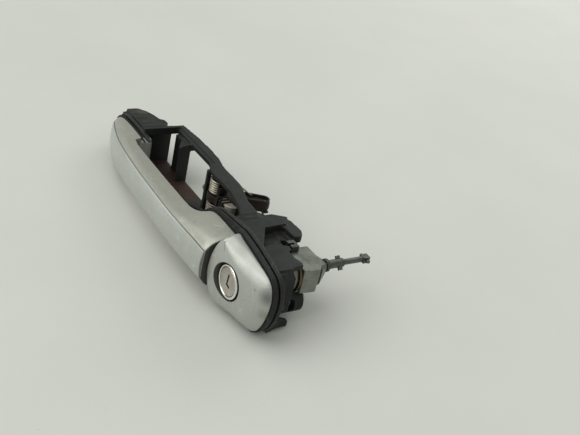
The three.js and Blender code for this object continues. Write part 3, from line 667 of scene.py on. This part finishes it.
def outer_half(_, row):
    """Half section of the outer shell from the middle of its back, in (y, z)."""
    yp, zp, yo = row[3:]
    r = min(0.35, 0.35 * abs(yo - yp), 0.3 * zp)
    back = yp - SEAM_GAP
    t0 = math.asin(min(0.95, (SEAM_GAP + r) / abs(yo - yp)))
    top = (yp + (yo - yp) * math.sin(t0), zp * math.cos(t0))
    pts = [(back, s) for s in np.linspace(0, top[1] - r, 4)]
    pts += arc((back - r, top[1] - r), (r, r), 0.0, math.pi / 2, 6)[1:-1]
    pts += [(yp + (yo - yp) * math.sin(t), zp * math.cos(t)) for t in np.linspace(t0, math.pi / 2, 30)]
    return pts


def inner_half(x, row):
    """Half section of the inner shell from the middle of its outer side, in (y, z)."""
    ys, zs, zb, yp, zp = row[:5]
    base = max(GRIP_BASE, yp + 0.25)
    knots_y = [yp, ys + 0.45 * (yp - ys), ys, (base + ys) / 2, base]
    knots_z = [zp, zs + 0.30 * (zp - zs), zs, 0.5 * (zb + zs) + 0.35 * smoothstep(1, 9, zb), zb]
    end = min(base, gap_face(x))
    corner = 0.6 + 1.0 * float(smoothstep(-2.6, -6.0, end) * smoothstep(-141, -136, x))
    wide = abs(end - yp)
    r0 = min(0.4, 0.2 * wide, 0.3 * zp)
    corner = min(corner, 0.4 * wide)

    def wall(y):
        return pchip(knots_y, knots_z, np.asarray(y, float))

    front = yp + SEAM_GAP
    z0 = float(wall(front + r0))
    pts = [(front, s) for s in np.linspace(0, z0 - r0, 4)]
    pts += arc((front + r0, z0 - r0), (r0, r0), math.pi, math.pi / 2, 6)[1:-1]
    yy = np.linspace(front + r0, end - corner, 34)
    pts += list(zip(yy, wall(yy)))
    z1 = float(wall(end - corner))
    z2 = max(float(wall(end)) - corner, 0.05)
    low = max(corner, z1 - z2)
    pts += arc((end - corner, z1 - low), (corner, low), math.pi / 2, 0.0, 9)[1:]
    pts += [(end, s) for s in np.linspace(z1 - low, 0, 5)[1:]]
    return pts


def drawn_in(ring, by):
    """The ring moved inwards by a distance."""
    d = np.roll(ring, -1, 0) - np.roll(ring, 1, 0)
    normal = np.stack([d[:, 1], -d[:, 0]], 1)
    normal /= np.maximum(np.linalg.norm(normal, axis=1, keepdims=True), 1e-9)
    if np.sum(normal * (ring - ring.mean(0))) < 0:
        normal = -normal
    return ring - normal * by


def shell_rim(verts, base, n):
    """Faces across the rear end; the extra points they need are added to verts."""
    rim = verts[base:base + n]
    half_n = n // 2
    rows = []
    for i in range(half_n + 1):
        j = (n - i) % n
        a, b = rim[i], rim[j]
        line = [base + i]
        if i not in (0, half_n):
            for s in np.linspace(0, 1, 10)[1:-1]:
                z = a[2] + (b[2] - a[2]) * s
                verts.append((grip_end_x(z), a[1], z))
                line.append(len(verts) - 1)
        line.append(base + j)
        rows.append(line)
    faces = []
    for p, q in zip(rows, rows[1:]):
        if len(p) == 2 or len(q) == 2:
            tip, other = (p, q) if len(p) == 2 else (q, p)
            for a, b in zip(other, other[1:]):
                faces.append((tip[0], a, b))
        else:
            for i in range(len(p) - 1):
                faces.append((p[i], p[i + 1], q[i + 1], q[i]))
    return faces


def shell(name, half):
    """One shell of the grip, and for each face whether it lies on the rear end, which takes the painted end
    shade.
    """
    xs, table = grip_stations()
    rings = []
    for x, row in zip(xs, table):
        h = half(x, row)
        rings.append([(y, z) for y, z in h] + [(y, -z) for y, z in h[-2:0:-1]])
    rings = np.array(rings)
    count, n = rings.shape[:2]
    bend = np.clip((xs - BEND_FROM) / (GRIP_STOP - BEND_FROM), 0, 1) ** 2
    verts = []
    for k in range(count):
        ring, x = rings[k], xs[k]
        last = k - (count - END_STEPS)
        if last >= 0:
            t = (last + 1) / END_STEPS * math.pi / 2
            ring = drawn_in(ring, END_ROUND * (1 - math.cos(t)))
            x = GRIP_STOP + END_ROUND * (math.sin(t) - 1)
        for y, z in ring:
            verts.append((x + bend[k] * (grip_end_x(z) - GRIP_STOP), y, z))
    faces = ring_faces(count, n)
    faces.append(tuple(range(n)))
    shaded_end = [0] * len(faces)
    rim = shell_rim(verts, (count - 1) * n, n)
    shaded_end += [1] * len(rim)
    return new_mesh(name, verts, faces + rim), shaded_end


# y, half height, and the x of the flank and of the front corner
LEG_ROOT = [
    (-6.0, 11.0, -150.0, -146.6), (-3.0, 11.2, -151.6, -146.9),
    (2.0, 10.8, -151.8, -147.9), (8.0, 9.4, -151.2, -148.0),
]
LEG_ROOT_BACK = -168
LEG_ROOT_CHAMFER = 3.2


def leg_root():
    """Rounded block under the front foot."""
    rings = []
    for _, h, x0, x1 in LEG_ROOT:
        low = h - LEG_ROOT_CHAMFER
        poly = [(LEG_ROOT_BACK, h), (x0, h), (x1, low), (x1, -low), (x0, -h), (LEG_ROOT_BACK, -h)]
        rings.append(rounded(poly, [0.5, 0.9, 0.9, 0.9, 0.9, 0.5], 6))
    rings = np.array(rings)
    ys = [level[0] for level in LEG_ROOT]
    levels = np.linspace(0, len(LEG_ROOT) - 1, 22)
    verts = []
    for s in levels:
        k = min(int(s), len(LEG_ROOT) - 2)
        t = s - k
        ring = rings[k] * (1 - t) + rings[k + 1] * t
        y = ys[k] * (1 - t) + ys[k + 1] * t
        verts += [(x, y, z) for x, z in ring]
    last = rings[-1]
    cx, cz = last.mean(0)
    soft = 0.5
    end_turns = (30, 60, 90)
    for degrees in end_turns:
        a = math.radians(degrees)
        shrink = 1 - 0.06 * (1 - math.cos(a))
        y = ys[-1] + soft * math.sin(a) - soft
        verts += [(cx + (x - cx) * shrink, y, cz + (z - cz) * shrink) for x, z in last]
    n = rings.shape[1]
    total = len(levels) + len(end_turns)
    faces = ring_faces(total, n) + [tuple(range(n)), tuple(range((total - 1) * n, total * n))]
    return new_mesh("grip_leg_root", verts, faces)


for name, half, finish, look, node in (
    ("grip_face_shell", outer_half, "paint_silver", "paint_silver", "grip_outer_shell"),
    ("grip_back_shell", inner_half, "paint_silver_warm", "paint_warm", "grip_inner_shell"),
):
    obj, shaded_end = shell(name, half)
    piece(obj, "grip", finish, look, node)
    # the rear end faces take the dark look as painted shade
    second_look(obj, "end_face_shade", shaded_end)
# the leg root's finish is the back shell's warm silver; it wears the lighter silver look as painted light
# against its shade
piece(leg_root(), "grip", "paint_silver_warm", "paint_silver")

# ---------------------------------------------------------------- cover and lock face

LOCK_X = 18.0
COVER_RIM_Y = -4.8
COVER_RIM = [
    (6.0, 25.8), (12, 24.8), (19, 23.7), (26, 22.4), (33, 21.1), (40, 19.7), (45.2, 18.0), (48.6, 15.4),
    (50.6, 11.6), (51.6, 6.5), (51.4, 1), (50.4, -4.5), (49.0, -9.5), (46.8, -15), (43.4, -20.2),
    (38.6, -23.6), (32, -25.0), (24, -25.6), (14, -25.9), (6.4, -25.6), (3.0, -22.8), (0.6, -18),
    (-0.7, -13), (-1.4, -7), (-1.6, -1), (-1.2, 6), (-0.3, 12.5), (1.0, 18), (3.0, 22.6),
]
RECESS_R = 12.2


def cover_face(x, z):
    """Height of the domed cover, as y."""
    along = np.maximum(0, x)
    return -18.7 + 0.08 * along + 0.0023 * along * along + 0.0065 * z * z


def cover():
    """Closed cap with a rounded edge and a round recess for the lock."""
    rim = spline(COVER_RIM, 10, closed=True)
    angle = np.arctan2(rim[:, 1], rim[:, 0] - LOCK_X)
    order = np.argsort(angle)
    rim, angle = rim[order], angle[order]
    even = np.linspace(-math.pi, math.pi, 241)[:-1]
    dist = np.hypot(rim[:, 0] - LOCK_X, rim[:, 1])
    r = np.interp(even, np.concatenate([angle - 2 * math.pi, angle, angle + 2 * math.pi]), np.tile(dist, 3))
    way = np.stack([np.cos(even), np.sin(even)], 1)
    rim = way * r[:, None] + [LOCK_X, 0]
    d = np.roll(rim, -1, 0) - np.roll(rim, 1, 0)
    normal = np.stack([d[:, 1], -d[:, 0]], 1)
    normal /= np.linalg.norm(normal, axis=1, keepdims=True)
    round_ = 4.5 + 5.0 * smoothstep(4, 26, rim[:, 0])
    front = smoothstep(0.15, 0.5, -normal[:, 0])
    in_x = normal[:, 0] * (round_ * (1 - front) + 0.9 * front)
    in_z = normal[:, 1] * round_
    n = len(rim)
    verts = []

    def add(px, y, pz):
        verts.extend(zip(px, y, pz))

    add(rim[:, 0] - normal[:, 0] * 2.0, np.full(n, COVER_RIM_Y + 0.02), rim[:, 1] - normal[:, 1] * 2.0)
    add(rim[:, 0] - normal[:, 0] * 0.25, np.full(n, COVER_RIM_Y + 0.02), rim[:, 1] - normal[:, 1] * 0.25)
    for deg in (4, 9, 15, 22, 30, 38, 46, 54, 62, 70, 77, 84, 90):
        t = math.radians(deg)
        px = rim[:, 0] - in_x * (1 - math.cos(t))
        pz = rim[:, 1] - in_z * (1 - math.cos(t))
        add(px, COVER_RIM_Y + (cover_face(px, pz) - COVER_RIM_Y) * math.sin(t), pz)
    edge_x, edge_z = rim[:, 0] - in_x, rim[:, 1] - in_z
    soft = 0.35
    for s in np.linspace(0, 1, 12)[1:]:
        px = edge_x * (1 - s) + (LOCK_X + way[:, 0] * (RECESS_R + soft)) * s
        pz = edge_z * (1 - s) + way[:, 1] * (RECESS_R + soft) * s
        add(px, cover_face(px, pz), pz)
    top = cover_face(LOCK_X + way[:, 0] * RECESS_R, way[:, 1] * RECESS_R)
    for deg in (25, 50, 75, 90):
        t = math.radians(deg)
        rr = RECESS_R + soft * (1 - math.sin(t))
        add(LOCK_X + way[:, 0] * rr, top + soft * (1 - math.cos(t)), way[:, 1] * rr)
    for s in np.linspace(0, 1, 6)[1:]:
        add(LOCK_X + way[:, 0] * RECESS_R, (top + soft) * (1 - s) - 5.2 * s, way[:, 1] * RECESS_R)
    rings = len(verts) // n
    faces = ring_faces(rings, n)
    last = (rings - 1) * n
    for i in range(n):
        j = (i + 1) % n
        faces.append((i, j, last + j, last + i))
    return new_mesh("lock_cover", verts, faces)


def from_lock(face):
    """Distance of a face's middle from the lock's axis."""
    return math.hypot(face.center.x / M - LOCK_X, face.center.z / M)


cover_piece = cover()
in_recess = [int(from_lock(p) < RECESS_R + 0.08) for p in cover_piece.data.polygons]
piece(cover_piece, "carrier", "paint_silver", "paint_cover", "rear_cover")
# the recess wall takes the dark look as painted shade
second_look(cover_piece, "recess_shade", in_recess)

QUARTER = math.pi / 2
bezel = [(9.32, -14.05)]
bezel += [(9.32 + 0.55 * (1 - math.cos(t)), -14.75 - 0.62 * math.sin(t)) for t in np.linspace(0, QUARTER, 6)]
bezel += [(10.35 + 0.75 * math.sin(t), -14.62 - 0.76 * math.cos(t)) for t in np.linspace(0.1, QUARTER, 8)]
bezel += [(11.1, -12.5), (11.0, -12.4), (10.45, -12.4), (10.45, -14.0)]
piece(lathe("lock_bezel", bezel, LOCK_X, 0, 128), "carrier", "bright_chrome", "bright_chrome", "face_ring")

cap = [(0.02, -12.85), (8.55, -12.85), (8.62, -13.8), (9.05, -14.25)]
cap += [(9.05 - 0.35 * (1 - math.cos(t)), -14.85 - 0.24 * math.sin(t)) for t in np.linspace(0, QUARTER, 5)]
cap += [(8.2, -15.12), (7.6, -15.0), (4.0, -14.95), (0.02, -14.93)]
cap = lathe("lock_cap", cap, LOCK_X, 0, 128)
slot = [(17.5, 5.5), (18.85, 5.4), (18.3, -1.4), (21.1, -2.05), (20.85, -3.5), (16.8, -2.8)]
cut(cap, prism("slot_tool", rounded(slot, 0.25, 3), -20, -10, "y"))
for p in cap.data.polygons:
    p.use_smooth = abs(p.normal.y) < 0.9999
in_slot = [int(abs(p.normal.y) < 0.6 and from_lock(p) < 6.5) for p in cap.data.polygons]
piece(cap, "plug", "satin_cap", "satin_cap", "face_cap")
# the slot's walls take the near-black look as painted shade
second_look(cap, "keyway_shade", in_slot)

# ---------------------------------------------------------------- frame

SPINE_TOP = [
    (-91.4, 35.4), (-84, 34.9), (-72, 35.0), (-60, 34.4), (-50, 31.6), (-42, 29.2), (-34, 28.6), (-26, 28.4),
]
SPINE_LOW = [
    (-26, 15.2), (-34, 18.8), (-44, 21.6), (-56, 23.6), (-70, 23.4), (-84.5, 23.2), (-89.6, 25.4), (-92.6, 28.4),
]
WEB = [(-14.0, 32.0), (-3.0, 32.0), (1.5, 39.0), (1.5, 44.0), (-13.0, 44.5), (-17.0, 40.0)]
LUG = [(-176.0, 21.0), (-171.5, 28.0), (-165.6, 28.4), (-161.6, 23.5)]
STRUT = [(20.6, 9.0), (33.0, 9.0), (34.2, 13.0), (34.2, 15.4), (20.6, 12.8)]
STRUT_PLATE = [(-129.6, 20.6), (-127.2, 20.6), (-127.2, 34.0), (-148.5, 34.0)]
HUMP_TOP = [(-24.0, 25.0), (-10.4, 25.3), (-11.3, 41.5), (-18.7, 47.0), (-24.0, 38.0)]
HUMP_WALL = [(-11.9, 25.3), (-10.4, 25.3), (-11.0, 41.0), (-11.9, 41.0)]


def box(name, a, b, low, high, axis):
    """A block that spans a and b in the first two directions and low to high along the axis."""
    return prism(name, [(a[0], b[0]), (a[0], b[1]), (a[1], b[1]), (a[1], b[0])], low, high, axis)


def frame_extras():
    """Solids that finish the frame."""
    spine = [tuple(p) for p in np.vstack([spline(SPINE_TOP, 6), spline(SPINE_LOW, 6)])]
    out = [
        # smooth spine over the springs, running into the hump
        prism("spine", spine, 15.0, 17.25, "z"),
        # web under the hump's arm
        prism("web", WEB, -3.0, 10.4, "z"),
        # lug on the front block
        prism("lug", rounded(LUG, 1.2, 4), 5.5, 13.2, "z"),
        # strut running up into the rail, with a corner plate behind it
        prism("strut", STRUT, -129.4, -127.2, "x"),
        prism("strut_plate", STRUT_PLATE, 11.3, 12.8, "z"),
        # square top and front wall of the hump
        prism("hump_top", HUMP_TOP, 11.7, 16.0, "z"),
        prism("hump_wall", HUMP_WALL, 2.0, 16.0, "z"),
    ]
    # upright ribs behind the springs, open where the crank's arm passes
    for x in (-63.0, -57.0, -51.5):
        for z in ((-16.0, -5.6), (1.2, 14.5)):
            out.append(box("rib", (32.6, 34.2), z, x, x + 1.4, "x"))
    # small ribs on the barrel housing and the front block
    for y in (7.0, 12.0, 17.0):
        out.append(box("rib", (27.5, 32.5), (-12.5, 3.0), y, y + 1.1, "y"))
    for x in (-184.5, -176.5, -168.5):
        out.append(box("rib", (6.4, 16.0), (10.0, 14.0), x, x + 1.2, "x"))
    return out


frame_piece = moulded("frame_moulding", [copy_of("frame", "frame_copy")] + frame_extras(), 0.5, 2)
piece(frame_piece, "carrier", "nylon_black", "nylon_black", "frame")

# ---------------------------------------------------------------- bell crank, springs, small castings

SHROUD = [(-66.8, 29.4), (-66.4, 24.2), (-62.0, 21.2), (-57.0, 21.2), (-57.0, 29.4)]
LEVER_ROOT = np.array([-72.5, 43.1])
LEVER_TIP = np.array([-64.0, 58.0])


def lever_rims():
    """Raised rim on both sides of the lever, open towards the crank."""
    way = (LEVER_TIP - LEVER_ROOT) / np.linalg.norm(LEVER_TIP - LEVER_ROOT)
    side = np.array([-way[1], way[0]])
    outer = [LEVER_ROOT + side * 5.3, LEVER_TIP + side * 4.6]
    for t in np.linspace(0.3, math.pi - 0.3, 10):
        outer.append(LEVER_TIP + way * 4.4 * math.sin(t) + side * 4.6 * math.cos(t))
    outer += [LEVER_TIP - side * 4.6, LEVER_ROOT - side * 5.3]
    inner = [LEVER_TIP + (q - LEVER_TIP) * 0.74 for q in outer[1:-1]]
    inner = [LEVER_ROOT + side * 4.1] + inner + [LEVER_ROOT - side * 4.1]
    shape = [tuple(q) for q in outer + inner[::-1]]
    return [prism("rim", shape, -0.6, 2.4, "z"), prism("rim", shape, -6.4, -4.2, "z")]


crank_solids = [
    copy_of("bell_crank", "crank_copy"),
    prism("shroud", SHROUD, -8.6, 4.6, "z"),
    box("plate", (24.4, 32.2), (-13.6, 11.6), -73.8, -72.5, "x"),
    box("plate", (23.2, 30.0), (-13.0, 11.0), -69.9, -68.7, "x"),
]
for x in (-66.6, -63.2, -59.8):
    crank_solids.append(box("fin", (20.4, 29.0), (-10.2, 6.2), x, x + 1.3, "x"))
piece(moulded("bell_crank_body", crank_solids, 0.3, 3), "crank", "nylon_brown", "nylon_brown", "bell_crank")
piece(moulded("lever_rim", lever_rims(), 0.22, 3), "crank", "nylon_black", "nylon_black")
weight_piece = moulded("counterweight_body", [copy_of("counterweight", "weight_copy")], 0.25, 4)
piece(weight_piece, "crank", "zinc_pale", "zinc_pale", "counterweight")

CRANK_X, CRANK_Y = -80.5, 29.0
COIL_R = 5.75
COIL_STEPS = 24


def coil(z0, z1, turns, start):
    """Points of one pack of turns of the crank's spring."""
    count = round(turns * COIL_STEPS)
    out = []
    for i in range(count + 1):
        t = start + 2 * math.pi * i / COIL_STEPS
        z = z0 + (z1 - z0) * i / count
        out.append((CRANK_X + COIL_R * math.cos(t), CRANK_Y + COIL_R * math.sin(t), z))
    return out


spring_line = [(-71.2, 52.4, 1.0), (-70.6, 49.4, 3.0), (-70.2, 44.8, 7.0)]
spring_line += [(-70.6, 40.6, 10.2), (-73.6, 36.6, 11.8)]
spring_line += coil(12.0, 1.5, 6.25, math.pi / 2)
spring_line += [(-88.6, 28.6, 1.5), (-91.0, 27.9, 1.1), (-93.6, 26.6, 0.2), (-95.0, 25.8, -2.4)]
spring_line += [(-93.6, 26.6, -4.8), (-91.0, 27.9, -5.8), (-88.6, 28.6, -6.5)]
spring_line += coil(-6.5, -15.2, 4.75, math.pi)
spring_line += [(-74.0, 36.2, -15.2), (-70.4, 41, -13.0), (-69.6, 47.2, -9.4), (-70.6, 52.2, -6.2)]
piece(rod("crank_spring_wire", spring_line, 0.65), "carrier", "spring_steel", "spring_steel", "crank_spring")

link_line = [(-63.4, 58.8, 0.4), (-63.4, 58.8, -3.4), (-63.4, 58.8, -7.8)]
link_line += [(-62.0, 58.6, -9.6), (-60.0, 57.6, -12.0), (-58.4, 55.6, -13.6)]
piece(rod("lever_link_wire", link_line, 1.0), "crank", "steel_zinc", "steel_zinc", "lever_link")

PLUG_COIL_R = 5.7
PLUG_COIL_START = 35.2
PLUG_COIL_LENGTH = 7.97
PLUG_COIL_TURN = 8 * math.pi
plug_line = [
    (
        LOCK_X + PLUG_COIL_R * math.cos(t),
        PLUG_COIL_START + PLUG_COIL_LENGTH * t / PLUG_COIL_TURN,
        PLUG_COIL_R * math.sin(t),
    )
    for t in np.linspace(0, PLUG_COIL_TURN, 97)
]
piece(rod("plug_spring_wire", plug_line, 0.5), "carrier", "spring_steel", "spring_steel", "plug_spring")

housing_piece = moulded("zinc_housing", [copy_of("lock_housing", "housing_copy")], 0.28, 3)
on_ear = [int(p.center.z > 8.7 * M and p.center.x < 12.0 * M) for p in housing_piece.data.polygons]
piece(housing_piece, "carrier", "zinc_cast", "zinc_cast", "lock_housing")
second_look(housing_piece, "steel_dark", on_ear)

# ---------------------------------------------------------------- finish of the pieces kept from the CAD frame

KEPT = {
    "nylon_soft": ("front_hook", "rear_leg", "rod_clip"),
    "pad_rubber": ("front_pad", "rear_pad", "stop_button"),
    "steel_zinc": ("leg_screw", "pivot_pin", "front_screw", "clamp_screw", "captive_nut"),
    "zinc_cast": ("lock_sleeve",),
    # the plug and shutter, seen only through the slot, are near-black as painted shade
    "keyway_shade": ("lock_plug", "slot_shutter"),
    "brass_ring": ("snap_ring",),
    "steel_dark": ("tail_collar", "tail_shaft", "cross_pin", "tail_rod"),
}
SHARP = math.radians(32)
for look, names in KEPT.items():
    for name in names:
        node = NODES[name]
        dress(node, look)
        for p in node.data.polygons:
            p.use_smooth = True
        node.data.set_sharp_from_angle(angle=SHARP)

# ---------------------------------------------------------------- table, light and camera


TABLE_AT = (6.0, 0.0, -27.6)
TABLE_SLOPE = -0.0536
TABLE_HALF = 2.6


def table_surface():
    """A plain pale table top that falls slightly towards the lock end."""
    centre = Vector(TABLE_AT) * M
    verts = [
        (centre.x + sx * TABLE_HALF, centre.y + sy * TABLE_HALF, centre.z + TABLE_SLOPE * sx * TABLE_HALF)
        for sx, sy in ((-1, -1), (1, -1), (1, 1), (-1, 1))
    ]
    mesh = bpy.data.meshes.new("table")
    mesh.from_pydata(verts, [], [(0, 1, 2, 3)])
    k = Look("table_plain")
    colour = k.mix(k.band(k.noise(7.0, 3.0), 0.3, 0.7), (0.665, 0.672, 0.628), (0.64, 0.648, 0.604))
    smudge = k.math("MULTIPLY", k.band(k.noise(900.0, 4.0, 0.7), 0.5, 0.8), 0.10)
    colour = k.mix(smudge, colour, (0.45, 0.45, 0.41))
    colour = k.mix(k.math("MULTIPLY", k.specks(170.0, 0.055, 0.57), 0.5), colour, (0.20, 0.19, 0.17))
    k.set("Base Color", colour)
    k.set("Roughness", 0.75)
    k.bump(k.noise(700.0, 3.0), 0.05, 0.1)
    mesh.materials.append(k.mat)
    return placed("table", mesh)


LIT = Vector((-0.03, 0.0, 0.0))


def area_light(name, place, size, power, colour):
    """A rectangular lamp that points at the handle."""
    lamp = bpy.data.lights.new(name, "AREA")
    lamp.shape = "RECTANGLE"
    lamp.size, lamp.size_y = size
    lamp.energy = power
    lamp.color = colour
    obj = placed(name, lamp)
    obj.location = place
    obj.rotation_euler = (LIT - Vector(place)).to_track_quat("-Z", "Y").to_euler()


table_surface()

world = bpy.data.worlds.new("room")
bpy.context.scene.world = world
world.use_nodes = True
sky = world.node_tree.nodes["Background"]
sky.inputs["Color"].default_value = (0.97, 1.0, 0.96, 1.0)
sky.inputs["Strength"].default_value = 0.47
SUN_WAY = (0.34, 0.58, -0.90)
lamp = bpy.data.lights.new("soft_day", "SUN")
lamp.energy = 1.25
lamp.angle = math.radians(64)
lamp.color = (1.0, 1.0, 0.985)
placed("soft_day", lamp).rotation_euler = Vector(SUN_WAY).to_track_quat("-Z", "Y").to_euler()
area_light("back", (-0.5, 1.3, 0.9), (1.2, 0.8), 5.0, (1.0, 1.0, 0.99))
area_light("window", (-0.25, -1.2, 0.45), (1.0, 0.8), 4.0, (0.99, 1.0, 1.0))

EYE_AT = (380.22, -267.10, 299.47)
EYE_RIGHT = (0.513246, 0.833042, 0.206448)
EYE_UP = (-0.518205, 0.109048, 0.848276)
EYE_BACK = (0.684137, -0.542356, 0.487654)
camera = bpy.data.cameras.new("camera")
camera.lens = 54.62
camera.sensor_width = 36.0
camera.clip_start = 0.01
eye = placed("camera", camera)
turn = Matrix((EYE_RIGHT, EYE_UP, EYE_BACK)).transposed()
eye.matrix_world = Matrix.Translation(Vector(EYE_AT) * M) @ turn.to_4x4()
bpy.context.scene.camera = eye
bpy.context.scene.view_settings.view_transform = "Standard"
